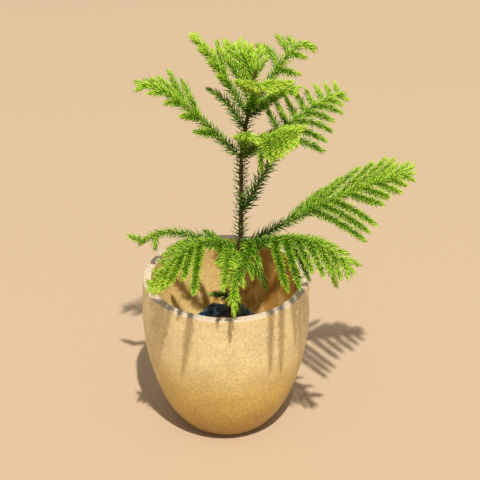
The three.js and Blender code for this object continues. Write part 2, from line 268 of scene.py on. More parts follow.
# Broad, soft changes of brightness over a surface
def makeMottling():
    group, start, end = newGroup(
        "mottling",
        [("Vector", "Vector", None), ("Color", "Color", None), ("Scale", "Float", 30.0),
         ("Amount", "Float", 0.2)],
        [("Color", "Color")])
    cloud = addNoise(group, start.outputs["Vector"], start.outputs["Scale"], 4, 0.6)
    swing = addRange(group, cloud, 0.3, 0.7, -1, 1)
    gain = addMath(group, "MULTIPLY_ADD", swing, start.outputs["Amount"], 1)
    tint = addNode(group, "ShaderNodeHueSaturation", Color=start.outputs["Color"], Value=gain)
    feed(group, end.inputs["Color"], tint.outputs["Color"])
    return group


# Small specks of another colour, in patches, as iron spots in stoneware
speckCore = 0.6        # the share of a speck's size that has its full colour
speckPatches = {"scale": 160, "detail": 2, "low": 0.48, "high": 0.6}


def makeSpeckles():
    group, start, end = newGroup(
        "speckles",
        [("Vector", "Vector", None), ("Color", "Color", None), ("Speck", "Color", None),
         ("Scale", "Float", 300.0), ("Size", "Float", 0.3), ("Amount", "Float", 0.6)],
        [("Color", "Color")])
    place, size = start.outputs["Vector"], start.outputs["Size"]
    cells = addNode(group, "ShaderNodeTexVoronoi", feature="F1", Vector=place, Scale=start.outputs["Scale"])
    core = addMath(group, "MULTIPLY", size, speckCore)
    spot = addRange(group, cells.outputs["Distance"], core, size, 1, 0)
    patches = addNoise(group, place, speckPatches["scale"], speckPatches["detail"])
    chosen = addRange(group, patches, speckPatches["low"], speckPatches["high"])
    both = addMath(group, "MULTIPLY", spot, chosen)
    mask = addMath(group, "MULTIPLY", both, start.outputs["Amount"])
    blend = addNode(group, "ShaderNodeMix", data_type="RGBA", Factor=mask, A=start.outputs["Color"],
                    B=start.outputs["Speck"])
    feed(group, end.inputs["Color"], blend.outputs["Result"])
    return group


# Fine relief, and the value it rises with, for a colour that follows it
def makeRelief():
    group, start, end = newGroup(
        "relief",
        [("Vector", "Vector", None), ("Scale", "Float", 400.0), ("Detail", "Float", 3.0),
         ("Roughness", "Float", 0.5), ("Strength", "Float", 0.3), ("Depth", "Float", 0.001)],
        [("Value", "Float"), ("Normal", "Vector")])
    value = addNoise(group, start.outputs["Vector"], start.outputs["Scale"], start.outputs["Detail"],
                     start.outputs["Roughness"])
    raised = addNode(group, "ShaderNodeBump", Height=value, Strength=start.outputs["Strength"],
                     Distance=start.outputs["Depth"])
    feed(group, end.inputs["Value"], value)
    feed(group, end.inputs["Normal"], raised.outputs["Normal"])
    return group


mottling = makeMottling()
speckles = makeSpeckles()
relief = makeRelief()


def addMottling(tree, place, colour, amounts):
    scale, amount = amounts
    node = placeGroup(tree, mottling, Vector=place, Color=colour, Scale=scale, Amount=amount)
    return node.outputs["Color"]


def addSpecks(tree, place, colour, specks):
    speck, scale, size, amount = specks
    node = placeGroup(tree, speckles, Vector=place, Color=colour, Speck=(*speck, 1), Scale=scale,
                      Size=size, Amount=amount)
    return node.outputs["Color"]


def addRelief(tree, place, shader, amounts):
    # raises the surface, and gives the value it rises with
    scale, detail, roughness, strength, depth = amounts
    node = placeGroup(tree, relief, Vector=place, Scale=scale, Detail=detail, Roughness=roughness,
                      Strength=strength, Depth=depth)
    feed(tree, shader.inputs["Normal"], node.outputs["Normal"])
    return node.outputs["Value"]


# In the pieces below a clouds entry gives scale and amount, a specks entry colour, scale, size and
# amount, and a relief entry scale, detail, roughness, strength and depth.

# Pot

pot = {
    "outline": [(0.052, 0), (0.064, 0.011), (0.0825, 0.045), (0.097, 0.098), (0.102, 0.150), (0.100, 0.200)],
    "wall": 0.0100,
    "floor": 0.012,
    "footRing": 0.006,
    "recess": (0.012, 0.002),  # under its base: how far from the edge it starts, and its height
    "corner": [(0.006, 1.8), (0.017, 1)],  # inside at its floor: how far in, and heights in floors
    "cornerTop": 2.6,
    "rimEdge": 0.0015,
    "rimBand": 0.0009,         # how far down the rim's bare clay reaches
    "floorShare": 0.8,         # the floor inside, as a share of its foot's radius
    "rings": 50,
    "sides": 160,
    "unevenness": 0.00035,
    "unevenGrain": (45, 120, 0.5),
    "evenFoot": 0.01,          # it gets uneven over this height
    "roughness": 0.42,
    "glazeAndFootShade": [  # colours of the outside from foot to rim, darker towards the foot: glaze colour, partly painted shade where the wall turns under
        (0.0, (0.30, 0.155, 0.018)), (0.15, (0.47, 0.285, 0.036)), (0.4, (0.66, 0.46, 0.120)),
        (0.7, (0.77, 0.61, 0.305)), (1.0, (0.76, 0.59, 0.300))],
    "clouds": [(28, 0.10), (260, 0.16)],
    "specks": [((0.16, 0.09, 0.03), 420, 0.34, 0.55), ((0.86, 0.74, 0.50), 350, 0.38, 0.5)],
    "relief": (420, 3, 0.5, 0.25, 0.0006),
    "inside": (0.97, 0.68, 0.26),
    # the brown of stains and of painted shade on the inside wall
    "stainAndShade": (0.60, 0.31, 0.060),
    "stainAndShadePatches": (62, 5, 0.62),  # scale, detail and roughness
    "stainAndShadeHeight": 0.45,       # patches are longer upwards the smaller it is
    "paintedShadeLean": 2.6,          # how much more brown there is towards +X: painted shade on the shaded side of the inside wall
    "stainAndShadeRange": (0.46, 0.60),
    "rim": (0.70, 0.55, 0.40),
    "rimClouds": (90, 0.10),
    "rimSpecks": ((0.30, 0.28, 0.30), 230, 0.46, 0.6),
    "rimRelief": (500, 3, 0.5, 0.4, 0.0006),
    "rimRoughness": 0.7,
}


def potOutline():
    points = [(radius, height, 0) for radius, height in pot["outline"]]
    line = [smoothLine(points, k / pot["rings"], 0) for k in range(pot["rings"] + 1)]
    outside = [(point.x, point.y) for point in line]
    inside = [(radius - pot["wall"], height) for radius, height in reversed(outside)
              if height > pot["cornerTop"] * pot["floor"]]
    corner = [(inside[-1][0] - inwards, floors * pot["floor"]) for inwards, floors in pot["corner"]]
    foot = outside[0][0]
    start, hollow = pot["recess"]
    return [(0, hollow), (foot - start, hollow), (foot - pot["footRing"], 0), *outside, *inside, *corner,
            (0, pot["floor"])]


def isRimCorner(edge, height):
    a, b = edge.verts
    level = abs(a.co.z - height) < touching and abs(b.co.z - height) < touching
    return level and abs(a.co.xy.length - b.co.xy.length) < touching


def potSurface(face, height):
    # 0 outside, 1 rim, 2 inside
    middle = face.calc_center_median()
    inwards = face.normal.dot(Vector((middle.x, middle.y, 0))) < 0
    onFloor = middle.xy.length < pot["floorShare"] * pot["outline"][0][0]
    if middle.z > height - pot["rimBand"]:
        return 1
    return 2 if middle.z > 0.9 * pot["floor"] and (inwards or onFloor) else 0


def makePot():
    height = pot["outline"][-1][1]
    bm = spinOutline(potOutline(), pot["sides"])
    corners = [edge for edge in bm.edges if isRimCorner(edge, height)]
    bmesh.ops.bevel(bm, geom=corners, offset=pot["rimEdge"], offset_type="OFFSET", segments=4,
                    profile=0.5, affect="EDGES", material=-1)
    bm.normal_update()
    for face in bm.faces:
        face.material_index = potSurface(face, height)
    for vert in bm.verts:
        uneven = roughAt(vert.co, *pot["unevenGrain"])
        vert.co += vert.normal * uneven * pot["unevenness"] * min(1, vert.co.z / pot["evenFoot"])
    materials = [makeGlaze("potGlaze"), makeRimClay(), makeGlaze("potInside", inside=True)]
    piece = addPiece("pot_body", finishMesh(bm, "pot_body"), materials)
    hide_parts("pot")


def makeGlaze(name, inside=False):
    material, tree, shader = newMaterial(name, pot["roughness"])
    place = objectPlace(tree)
    split = addNode(tree, "ShaderNodeSeparateXYZ", Vector=place)
    if inside:
        # inside: cream glaze going over to brown stain and painted shade, more of it towards +X
        stainAndShade = stainAndShadeShare(tree, place, split.outputs["X"])
        colour = addRamp(tree, stainAndShade, [(0, pot["inside"]), (1, pot["stainAndShade"])])
    else:
        # outside: glaze colour by height, darker towards the foot partly as painted shade
        height = addRange(tree, split.outputs["Z"], 0, pot["outline"][-1][1])
        colour = addRamp(tree, height, pot["glazeAndFootShade"])
    for clouds in pot["clouds"]:
        colour = addMottling(tree, place, colour, clouds)
    for specks in pot["specks"]:
        colour = addSpecks(tree, place, colour, specks)
    feed(tree, shader.inputs["Base Color"], colour)
    addRelief(tree, place, shader, pot["relief"])
    return material


def stainAndShadeShare(tree, place, across):
    # brown streaks and patches, partly stain and partly painted shadow of the needles, closer together
    # towards +X, where painted shade darkens the inside wall
    squashed = stretchPlace(tree, place, (1, 1, pot["stainAndShadeHeight"]))
    patches = addNoise(tree, squashed, *pot["stainAndShadePatches"])
    lean = addMath(tree, "MULTIPLY_ADD", across, pot["paintedShadeLean"], patches)
    return addRange(tree, lean, *pot["stainAndShadeRange"])


def makeRimClay():
    material, tree, shader = newMaterial("potRim", pot["rimRoughness"])
    place = objectPlace(tree)
    colour = addMottling(tree, place, (*pot["rim"], 1), pot["rimClouds"])
    feed(tree, shader.inputs["Base Color"], addSpecks(tree, place, colour, pot["rimSpecks"]))
    addRelief(tree, place, shader, pot["rimRelief"])
    return material


makePot()
print("pot made")


# Grow bag

bag = {
    "foot": 0.01235,
    "rim": 0.130,
    "radius": 0.044,
    "taper": 0.005,
    "bottomEdge": 0.008,
    "film": 0.0009,
    "rings": 46,
    "sides": 132,
    "creases": [(0.035, 5, 0.6, 0), (0.025, 9, 0, 2.1)],  # depth, number, turn, and twist up to the rim
    "backRise": 0.004,
    "waves": (0.0025, 7),      # the rim's: height and number
    "rimPower": 8,             # the higher, the closer to its rim that rise and those waves start
    "crinkle": 0.0016,
    "crinkleGrain": (110, 260, 0.6),
    "tatter": (0.0012, 160),   # the rim's: height and scale
    "roughness": 0.34,
    "colour": (0.026, 0.078, 0.135),
    # paler blue on the film's raised folds: painted sheen
    "foldSheen": (0.24, 0.38, 0.50),
    "foldSheenRange": (0.40, 0.64), # of the relief's value, from colour to the painted sheen on the raised folds
    "relief": (150, 5, 0.65, 0.6, 0.002),
}


def bagWidth(share):
    return mix(bag["radius"] - bag["taper"], bag["radius"], math.sqrt(share))


def crumple(point):
    # the film bulges and creases towards its open top, which stands highest at the back
    angle = math.atan2(point.y, point.x)
    share = min(max((point.z - pot["floor"]) / (bag["rim"] - pot["floor"]), 0), 1)
    creases = sum(depth * math.sin(number * angle + turn + twist * share)
                  for depth, number, turn, twist in bag["creases"])
    back = max(0, math.sin(angle)) ** 3
    height, number = bag["waves"]
    point.z += share ** bag["rimPower"] * (bag["backRise"] * back + height * math.sin(number * angle))
    point.xy *= 1 + creases * share
    return share


def makeBag():
    rings = bag["rings"]
    outline = [(0, bag["foot"]), (bag["radius"] - bag["bottomEdge"], bag["foot"])]
    outline += [(bagWidth(k / rings), mix(bag["foot"], bag["rim"], k / rings))
                for k in range(2, rings + 1)]
    bm = spinOutline(outline, bag["sides"])
    tatter, scale = bag["tatter"]
    for vert in bm.verts:
        share = crumple(vert.co)
        fine = roughAt(vert.co, *bag["crinkleGrain"])
        vert.co.xy *= 1 + bag["crinkle"] / bag["radius"] * fine * share
        vert.co.z += tatter * share ** bag["rimPower"] * noise.noise(vert.co * scale)
    bmesh.ops.solidify(bm, geom=bm.faces, thickness=bag["film"])
    bmesh.ops.recalc_face_normals(bm, faces=bm.faces)
    piece = addPiece("grow_bag_film", finishMesh(bm, "grow_bag_film"), [makeFilm()])
    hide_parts("grow_bag")


def makeFilm():
    material, tree, shader = newMaterial("bagFilm", bag["roughness"])
    folds = addRelief(tree, objectPlace(tree), shader, bag["relief"])
    low, high = bag["foldSheenRange"]
    # the raised folds turn paler blue: painted sheen
    colour = addRamp(tree, folds, [(low, bag["colour"]), (high, bag["foldSheen"])])
    feed(tree, shader.inputs["Base Color"], colour)
    return material


makeBag()
print("grow bag made")


# Soil

soil = {
    "foot": 0.0145,
    "level": 0.118,
    "mound": 0.005,            # how much higher its middle is
    "inset": 0.0026,
    "bottomEdge": 0.012,
    "waist": (0.4, 0.002),     # at this share of its level it is this much slimmer
    "shoulder": 0.003,
    "rings": 16,
    "sides": 90,
    "lumps": 0.0022,
    "lumpGrain": (140, 330, 0.6),
    "evenEdge": 0.01,          # the lumps fade out over this width
    "crumbs": 520,
    "crumbEdge": 0.003,
    "crumbSize": (0.0006, 0.0022),
    "crumbWidth": (0.6, 1),
    "crumbHeight": 0.7,
    "roughness": 0.95,
    "colour": (0.055, 0.032, 0.018),
    "pale": (0.20, 0.135, 0.08),
    "grainRange": (0.4, 0.72), # of the relief's value, from colour to pale
    "clouds": (70, 0.3),
    "relief": (420, 6, 0.7, 0.8, 0.002),
}


def soilHeight(share):
    # of its surface, at a share of its radius
    return soil["level"] + soil["mound"] * (1 - share ** 2)


def makeSoil():
    level, rings = soil["level"], soil["rings"]
    top = bagWidth((level - bag["foot"]) / (bag["rim"] - bag["foot"])) - soil["inset"]
    waist, slimmer = soil["waist"]
    outline = [(0, soil["foot"]), (bag["radius"] - soil["bottomEdge"], soil["foot"]),
               (top - slimmer, level * waist), (top, level - soil["shoulder"])]
    outline += [(top * (1 - k / rings), soilHeight(1 - k / rings)) for k in range(1, rings + 1)]
    bm = spinOutline(outline, soil["sides"])
    for vert in bm.verts:
        if vert.co.z > level / 2:
            inner = min(1, (top - vert.co.xy.length) / soil["evenEdge"])
            vert.co.z += roughAt(vert.co, *soil["lumpGrain"]) * soil["lumps"] * max(0, inner)
    for vert in bm.verts:
        crumple(vert.co)
    chance = random.Random(4)
    for _ in range(soil["crumbs"]):
        addCrumb(bm, top, chance)
    piece = addPiece("soil_crumbs", finishMesh(bm, "soil_crumbs"), [makeEarth()])
    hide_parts("soil")


def addCrumb(bm, top, chance):
    angle = chance.uniform(0, 2 * math.pi)
    radius = (top - soil["crumbEdge"]) * math.sqrt(chance.random())
    size = chance.uniform(*soil["crumbSize"])
    turn = Matrix.Rotation(chance.uniform(0, 6), 4, (chance.random(), chance.random(), 1))
    width = size * chance.uniform(*soil["crumbWidth"])
    shape = Matrix.Diagonal((size, width, size * soil["crumbHeight"], 1))
    centre = (radius * math.cos(angle), radius * math.sin(angle), soilHeight(radius / top))
    bmesh.ops.create_icosphere(bm, subdivisions=1, radius=1,
                               matrix=Matrix.Translation(centre) @ turn @ shape)


def makeEarth():
    material, tree, shader = newMaterial("soil", soil["roughness"])
    place = objectPlace(tree)
    grains = addRelief(tree, place, shader, soil["relief"])
    low, high = soil["grainRange"]
    colour = addRamp(tree, grains, [(low, soil["colour"]), (high, soil["pale"])])
    feed(tree, shader.inputs["Base Color"], addMottling(tree, place, colour, soil["clouds"]))
    return material


makeSoil()
print("soil made")


# Needles, and plumes of them around a shoot

needle = {
    "flatness": 0.68,      # thickness as a share of width
    "bend": 0.20,          # how far its tip curves in, as a share of its length
    "girths": [0.75, 1.0, 0.7],
    "turn": 137.5,
    "unevenAngle": 7,
    "unevenLength": 0.12,
    "seat": 0.6,           # where its root sits, as a share of the shoot's radius
    "firstLength": 0.7,    # how long the first ones are, and over which length of shoot they grow
    "growsOver": 0.02,
    "opening": 1.5,        # the higher, the later the crown's needles turn forwards
    "paleFrom": 0.4,       # the share of its length from where it is paler than its shoot: painted highlight towards the tip, painted shade below
}
goldenTurn = math.radians(needle["turn"])


def makeNeedle():
    # one unit long along +Z, and one wide
    bm = bmesh.new()
    bmesh.ops.create_cone(bm, cap_ends=False, segments=4, radius1=0.5, radius2=0, depth=1,
                          matrix=Matrix.Translation((0, 0, 0.5)))
    bmesh.ops.remove_doubles(bm, verts=bm.verts, dist=touching)
    sides = [edge for edge in bm.edges if abs(edge.verts[0].co.z - edge.verts[1].co.z) > 0.5]
    bmesh.ops.subdivide_edges(bm, edges=sides, cuts=len(needle["girths"]) - 1)
    girths = [*needle["girths"], 0]
    for vert in bm.verts:
        ring = round(vert.co.z * (len(girths) - 1))
        around = Vector((vert.co.x, vert.co.y))
        if around.length > touching:
            vert.co.xy = around.normalized() * 0.5 * girths[ring]
    for face in bm.faces:
        face.material_index = 1
    bmesh.ops.recalc_face_normals(bm, faces=bm.faces)
    return finishMesh(bm, "needle")


needleMesh = makeNeedle()
needleVerts = len(needleMesh.vertices)
needleRise = np.array([vert.co.z for vert in needleMesh.vertices])


# A form says how a plume looks. For its shoot: sides, root and tip (radius), and cut, the length of its
# parts. For its needles: bare (where they start), spacing, angle, length and width, and near its end
# tipAngle, tipLength and crown, over which they turn. Each fresh value adds to how light a part is;
# the needles' own gradient, darker at the base and paler at the tip, is painted shade and painted highlight.
def makeShoot(length, form):
    bm = bmesh.new()
    bmesh.ops.create_cone(bm, cap_ends=True, segments=form["sides"], radius1=form["root"],
                          radius2=form["tip"], depth=length, matrix=Matrix.Translation((0, 0, length / 2)))
    long = [edge for edge in bm.edges if abs(edge.verts[0].co.z - edge.verts[1].co.z) > length / 2]
    bmesh.ops.subdivide_edges(bm, edges=long, cuts=max(3, int(length / form["cut"])), use_grid_fill=True)
    return bm


def addNeedle(bm, place, radius, turn, tilt, size, width):
    around = Matrix.Rotation(turn, 4, "Z")
    lean = Matrix.Rotation(math.radians(tilt), 4, "Y")
    matrix = (Matrix.Translation((0, 0, place)) @ around @ Matrix.Translation((radius, 0, 0)) @ lean
              @ Matrix.Diagonal((needle["flatness"] * width, width, size, 1)))
    bm.from_mesh(needleMesh)
    bm.verts.ensure_lookup_table()
    verts = bm.verts[-needleVerts:]
    bmesh.ops.transform(bm, matrix=matrix, verts=verts)
    inwards = (around @ lean).to_3x3() @ Vector((-1, 0, 0))
    for vert, rise in zip(verts, needleRise):
        vert.co += inwards * (needle["bend"] * size * rise ** 2)


def makePlume(length, form, chance):
    # a shoot along +Z with its needles, and for each vertex how fresh it is, with painted shade and
    # highlight along each needle, and its tone
    bm = makeShoot(length, form)
    shoot = np.array([vert.co.z for vert in bm.verts]) / length
    fresh = [form["skinFresh"] + form["tipFresh"] * shoot]
    tone = [np.zeros(len(shoot))]
    bare = form["bare"] * length
    place, turn = bare, chance.uniform(0, 6)
    while place < length:
        share = place / length
        end = max(0, (place - length + form["crown"]) / form["crown"])
        tilt = mix(form["angle"], form["tipAngle"], end ** needle["opening"])
        tilt += chance.gauss(0, needle["unevenAngle"])
        size = form["length"] * mix(1, form["tipLength"], share)
        size *= 1 + chance.gauss(0, needle["unevenLength"])
        size *= min(1, needle["firstLength"] + (place - bare) / needle["growsOver"])
        radius = mix(form["root"], form["tip"], share) * needle["seat"]
        addNeedle(bm, place, radius, turn, tilt, size, form["width"])
        age = form["fresh"] + form["tipFresh"] * share + form.get("crownFresh", 0) * min(1, 2 * end)
        # each needle darker at its base and paler at its tip: painted shade and painted highlight
        fresh.append(age + form["needleShadeAndGlint"] * (needleRise - needle["paleFrom"]))
        tone.append(np.full(needleVerts, chance.gauss(0, 1)))
        place += form["spacing"]
        turn += goldenTurn
    return finishMesh(bm, "plume"), np.concatenate(fresh), np.concatenate(tone)


def addShades(mesh, fresh, tone):
    for name, values in [("fresh", fresh), ("tone", tone)]:
        attribute = mesh.attributes.new(name, "FLOAT", "POINT")
        attribute.data.foreach_set("value", np.concatenate(values).astype(np.float32))


needleColours = {
    "age": [(0.0, (0.004, 0.028, 0.002)), (0.25, (0.013, 0.088, 0.003)), (0.45, (0.096, 0.265, 0.006)),
            (0.65, (0.312, 0.535, 0.018)), (0.85, (0.550, 0.735, 0.070)), (1.0, (0.640, 0.820, 0.075))],
    "toneGain": 0.10,
    "roughness": 0.34,
    "shine": 0.36,
    "skin": [(0.0, (0.060, 0.050, 0.020)), (0.45, (0.080, 0.150, 0.020)), (0.75, (0.200, 0.280, 0.030)),
             (1.0, (0.360, 0.430, 0.060))],
    "skinRoughness": 0.6,
}


def shadeFactor(tree):
    # the vertex attributes fresh (youth, with painted shade and highlight mixed in) and tone, put together
    fresh = addNode(tree, "ShaderNodeAttribute", attribute_name="fresh").outputs["Fac"]
    tone = addNode(tree, "ShaderNodeAttribute", attribute_name="tone").outputs["Fac"]
    return addMath(tree, "MULTIPLY_ADD", tone, needleColours["toneGain"], fresh)


def makeShaded(name, roughness, colours):
    material, tree, shader = newMaterial(name, roughness)
    feed(tree, shader.inputs["Base Color"], addRamp(tree, shadeFactor(tree), colours))
    return material, shader


needleMaterial, needleShader = makeShaded("needles", needleColours["roughness"], needleColours["age"])
needleShader.inputs["Specular IOR Level"].default_value = needleColours["shine"]
skinMaterial, _ = makeShaded("shootSkin", needleColours["skinRoughness"], needleColours["skin"])


# Stem

stem = {
    "path": [(0.003, 0, 0.060), (0.004, 0, 0.124), (0.007, 0, 0.180), (0.016, 0, 0.232), (0.0185, 0, 0.290),
             (0.019, 0, 0.362), (0.026, 0, 0.415), (0.0315, 0, 0.452), (0.036, 0, 0.475)],
    "steps": 120,
    "bark": 0.00035,
    "barkScales": (220, 500),  # round it, and up it
    "form": {"sides": 20, "root": 0.0036, "tip": 0.0017, "cut": 0.0025, "bare": 0.43, "crown": 0.025,
             "angle": 72, "tipAngle": 16, "length": 0.0102, "tipLength": 1.1, "width": 0.0017,
             "spacing": 0.00074, "fresh": 0.13, "skinFresh": 0.0, "tipFresh": 0.36, "crownFresh": 0.18,
             "needleShadeAndGlint": 0.14},
    "roughness": 0.85,
    "brown": [(0.3, (0.040, 0.020, 0.008)), (0.5, (0.11, 0.058, 0.018)), (0.75, (0.36, 0.20, 0.055))],
    "relief": (240, 5, 0.7, 0.8, 0.0015),
    "ringHeight": 2.2,         # the bark's rings are flatter the larger it is
}


def stemPoint(u):
    return smoothLine(stem["path"], u, 1)


def onStem(height):
    low, high = 0, 1
    for _ in range(40):
        middle = (low + high) / 2
        if stemPoint(middle).z < height:
            low = middle
        else:
            high = middle
    return stemPoint(low)


def makeStem():
    line = layLine([stemPoint(k / stem["steps"]) for k in range(stem["steps"] + 1)])
    mesh, fresh, tone = makePlume(line["lengths"][-1], stem["form"], random.Random(11))
    bendAlong(mesh, line)
    around, along = stem["barkScales"]
    bark = {index for face in mesh.polygons if face.material_index == 0 for index in face.vertices}
    for index in bark:
        vert = mesh.vertices[index]
        rough = noise.noise(vert.co * around) + noise.noise(Vector((0, 0, vert.co.z * along)))
        vert.co += vert.normal * rough * stem["bark"]
    addShades(mesh, [fresh], [tone])
    piece = addPiece("stem_bark", mesh, [makeBark(), needleMaterial])
    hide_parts("stem")


def makeBark():
    material, tree, shader = newMaterial("bark", stem["roughness"])
    stretched = stretchPlace(tree, objectPlace(tree), (1, 1, stem["ringHeight"]))
    rings = addRelief(tree, stretched, shader, stem["relief"])
    feed(tree, shader.inputs["Base Color"], addRamp(tree, rings, stem["brown"]))
    return material


makeStem()
print("stem made")


# Fronds, in millimetres. Each leaves the stem at a height towards an azimuth, and ends reach away
# and rise above; lift raises its two middle handles and sway moves them sideways. A row is one
# side's sprigs: side, count, from, to, first length, last length, angle, tilt, droop, curl.
right, left = 1, -1
fronds = {
    "low_far_right": {"at": 241, "azimuth": -3, "reach": 198, "rise": 104, "lift": (8, 17),
        "fresh": 0.66, "rows": [
            (right, 3, 0.41, 0.53, 92, 80, 51, -1, 0.25, 0.06),
            (right, 5, 0.63, 0.95, 64, 16, 54, -5, -0.04, 0),
            (left, 3, 0.28, 0.43, 53, 70, 37, 9, 0, 0.26),
            (left, 6, 0.53, 0.92, 64, 20, 27, 2, -0.30, 0.26)]},
    "low_right": {"at": 231, "azimuth": -49, "reach": 189, "rise": 64, "lift": (39, 40),
        "fresh": 0.61, "rows": [
            (right, 2, 0.33, 0.43, 117, 108, 39, 4, 0.44, 0.23),
            (right, 5, 0.52, 0.93, 58, 14, 32, 2, 0.50, 0.28),
            (left, 2, 0.30, 0.54, 58, 71, 34, 0, 1.57, 0.27),
            (left, 5, 0.35, 0.88, 36, 22, 55, -7, 0.20, -0.10)]},
    "low_front": {"at": 245, "azimuth": -93, "reach": 126, "rise": -16, "lift": (30, 34),
        "sway": (34, -9), "fresh": 0.63, "rows": [
            (right, 4, 0.34, 0.86, 20, 9, 46, -4, 0.60, 0.25),
            (left, 4, 0.30, 0.82, 24, 10, 46, -4, 0.60, 0.25)]},
    "low_front_left": {"at": 222, "azimuth": -97, "reach": 134, "rise": 45, "lift": (32, 24),
        "sway": (-12, 3), "fresh": 0.64, "rows": [
            (right, 2, 0.30, 0.46, 18, 14, 45, -10, 0.40, 0.25),
            (left, 2, 0.34, 0.50, 16, 12, 45, -10, 0.40, 0.25)]},
    "low_left": {"at": 232, "azimuth": -133, "reach": 149, "rise": 18, "lift": (47, 37),
        "fresh": 0.66, "rows": [
            (right, 2, 0.12, 0.21, 20, 30, 55, 0, 0.25, 0),
            (right, 7, 0.29, 0.94, 53, 8, 61, -6, 0.25, -0.39),
            (left, 2, 0.12, 0.22, 20, 26, 45, 0, 0.30, 0.10),
            (left, 1, 0.43, 0.43, 122, 122, 40, 6, 0.11, 0),
            (left, 2, 0.61, 0.74, 68, 45, 32, 6, -0.05, 0.08),
            (left, 3, 0.80, 0.92, 28, 12, 33, -1, 0.20, 0.30),
            (left, 1, 0.52, 0.52, 66, 66, 36, 6, 0.10, 0)]},
    "low_back_left": {"at": 241, "azimuth": 169, "reach": 121, "rise": -8, "lift": (0, 37),
        "fresh": 0.54, "rows": [
            (right, 1, 0.20, 0.20, 26, 26, 48, 18, 0.20, 0.20),
            (right, 1, 0.96, 0.96, 17, 17, 25, 60, -0.60, 0.30),
            (left, 1, 0.82, 0.82, 15, 15, 60, -40, 0.80, 0)]},
    "solo": {"at": 288, "azimuth": -38, "reach": 51, "rise": 92, "lift": (-3, 8),
        "fresh": 0.53, "rows": []},
    "mid_left": {"at": 360, "azimuth": -176, "reach": 113, "rise": 96, "lift": (8, 27),
        "fresh": 0.65, "rows": [
            (right, 2, 0.41, 0.53, 48, 50, 46, 12, 0, -0.05),
            (right, 4, 0.62, 0.95, 34, 9, 46, 14, 0.22, 0.11),
            (left, 5, 0.25, 0.94, 36, 12, 46, -3, 0.20, 0.25)]},
    "mid_back_left": {"at": 396, "azimuth": 150, "reach": 47, "rise": 40, "lift": (12, 9),
        "fresh": 0.58, "rows": []},
    "mid_front": {"at": 370, "azimuth": -80, "reach": 45, "rise": 38, "lift": (6, 12),
        "fresh": 0.73, "rows": [
            (right, 3, 0.48, 0.85, 15, 7, 63, 1, 0.01, 0.32),
            (left, 4, 0.34, 0.91, 27, 8, 64, -8, 0.43, 0.24)]},
    "mid_front_right": {"at": 358, "azimuth": -42, "reach": 85, "rise": 65, "lift": (14, 8),
        "fresh": 0.70, "rows": [
            (right, 2, 0.38, 0.48, 30, 44, 56, 4, 0.45, 0.25),
            (right, 6, 0.54, 0.94, 56, 26, 54, 4, 0.50, 0.25),
            (left, 6, 0.29, 0.96, 19, 6, 49, 19, -0.07, 0.24)]},
    "mid_right": {"at": 366, "azimuth": 32, "reach": 139, "rise": 42, "lift": (-11, 14),
        "fresh": 0.64, "rows": [
            (right, 7, 0.27, 0.93, 64, 12, 49, 13, 0.27, -0.21),
            (left, 8, 0.36, 0.97, 33, 12, 73, 21, -0.28, -0.14)]},
    "top_left": {"at": 415, "azimuth": 172, "reach": 62, "rise": 92, "lift": (4, 8),
        "fresh": 0.68, "rows": [
            (right, 1, 0.41, 0.41, 38, 38, 37, 23, -0.01, 0.19),
            (right, 3, 0.56, 0.88, 18, 8, 36, 22, 0, 0.20),
            (left, 4, 0.34, 0.90, 18, 8, 34, 10, 0.15, 0.25)]},
    "top_back_left": {"at": 430, "azimuth": 116, "reach": 36, "rise": 53, "lift": (2, 6),
        "fresh": 0.70, "rows": [
            (right, 4, 0.36, 0.94, 28, 14, 44, 0, 0.05, 0.25),
            (left, 4, 0.36, 0.94, 34, 14, 44, 0, 0, 0.25)]},
    "top_right": {"at": 420, "azimuth": 20, "reach": 78, "rise": 68, "lift": (6, 44),
        "fresh": 0.67, "rows": [
            (right, 3, 0.43, 0.81, 29, 14, 68, -1, 0.35, 0.27),
            (left, 1, 0.43, 0.43, 58, 58, 51, 22, 0.41, -0.26),
            (left, 2, 0.60, 0.69, 30, 18, 64, 17, 0.13, -0.18)]},
    "top_front_right": {"at": 412, "azimuth": -26, "reach": 57, "rise": 44, "lift": (4, 14),
        "fresh": 0.60, "rows": [
            (right, 4, 0.32, 0.92, 22, 10, 55, 0, 0.05, 0.25),
            (left, 4, 0.30, 0.90, 22, 9, 55, 10, 0, 0.25)]},
    "top_front": {"at": 417, "azimuth": -74, "reach": 51, "rise": 55, "lift": (4, 16),
        "fresh": 0.74, "rows": [
            (right, 5, 0.60, 0.96, 37, 9, 55, 9, 0.12, 0.35),
            (left, 5, 0.66, 0.98, 41, 10, 49, 1, 0.28, 0.38)]},
    "top_back": {"at": 440, "azimuth": 84, "reach": 30, "rise": 38, "lift": (2, 8),
        "fresh": 0.70, "rows": [
            (right, 3, 0.40, 0.92, 24, 10, 44, 0, 0, 0.25),
            (left, 3, 0.44, 0.92, 26, 10, 44, 0, 0, 0.25)]},
    "inner_right": {"at": 215, "azimuth": -44, "reach": 48, "rise": -9, "lift": (14, 24),
        "fresh": 0.50, "rows": []},
    "twig_left": {"at": 172, "azimuth": -170, "reach": 22, "rise": 4, "lift": (0, 0),
        "fresh": 0.46, "rows": []},
    "twig_right": {"at": 166, "azimuth": -55, "reach": 16, "rise": -5, "lift": (6, 10),
        "fresh": 0.52, "rows": []},
}

